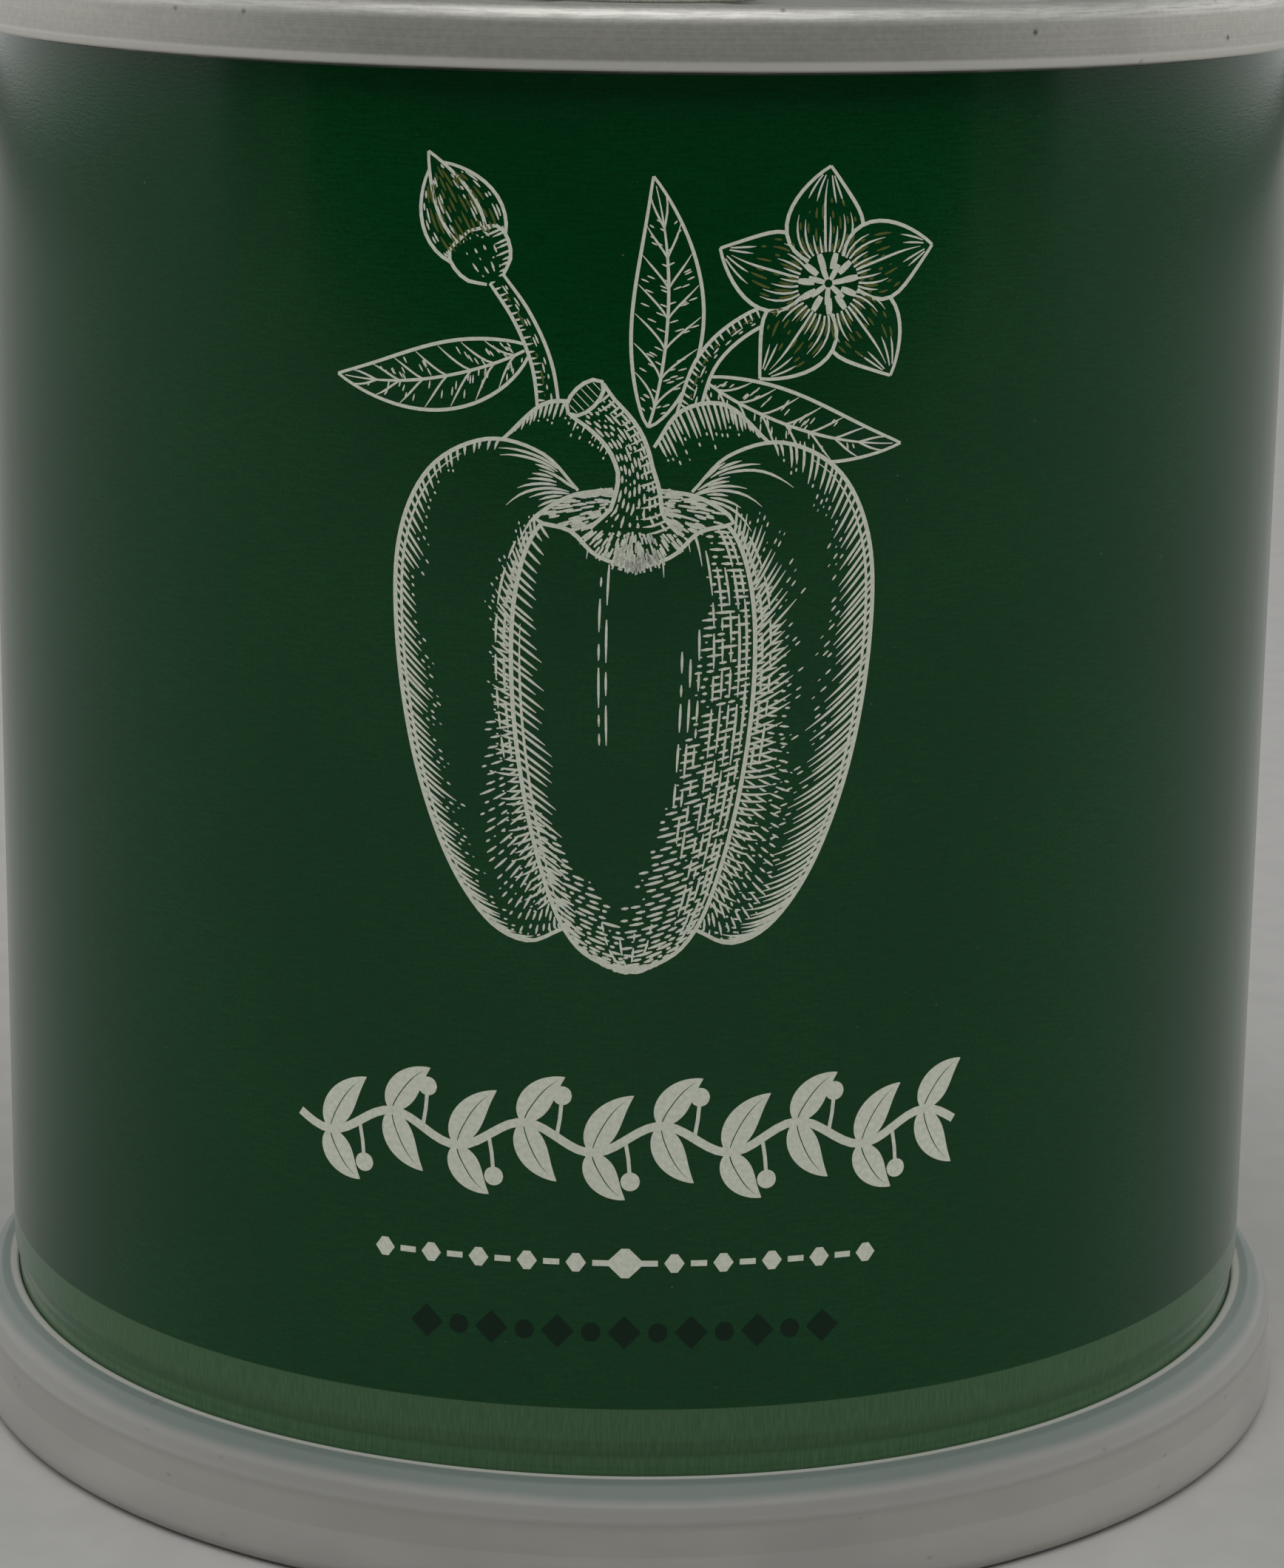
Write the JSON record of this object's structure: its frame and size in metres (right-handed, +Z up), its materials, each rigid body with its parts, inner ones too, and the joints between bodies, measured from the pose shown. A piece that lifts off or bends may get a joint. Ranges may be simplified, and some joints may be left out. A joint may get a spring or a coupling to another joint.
{
  "type": "seed growing tin",
  "caption": "Seamed tin of growing medium and pepper seeds, with a printed wrap and a ring-pull top, standing in its plastic snap cap, which serves as a saucer.",
  "frame": {"origin": "middle of the saucer cap's underside, on the tin's axis", "axes": "+Z up along the tin's axis, -Y towards the front of the printed wrap, +X to the right of it"},
  "size_m": [0.078, 0.078, 0.082],
  "materials": {
    "tinplate": "satin rolled tinplate with fine circular lines and a brighter crown",
    "printed_wrap": "dark green printed film, semi-gloss, with a lighter green band at the foot",
    "tab_metal": "stamped, curled edges, satin",
    "seam_sealant": "matte cured compound",
    "milky_plastic": "translucent milky polyethylene, satin",
    "filter_paper": "unbleached, fibrous",
    "peat": "crumbly dark brown fibres",
    "vermiculite": "golden brown flakes",
    "seed_coat": "smooth pale husk"
  },
  "bodies": {
    "root": {"can_body": "tinplate", "printed_label": "printed_wrap", "top_end": "tinplate", "pull_tab": "tab_metal", "top_seam_compound": "seam_sealant", "bottom_end": "tinplate", "bottom_seam_compound": "seam_sealant", "saucer_cap": "milky_plastic", "filter_disc": "filter_paper", "growing_medium": "peat", "cover_layer": "vermiculite", "pepper_seed_1": "seed_coat", "pepper_seed_2": "seed_coat", "pepper_seed_3": "seed_coat", "pepper_seed_4": "seed_coat", "pepper_seed_5": "seed_coat"}
  },
  "joints": []
}
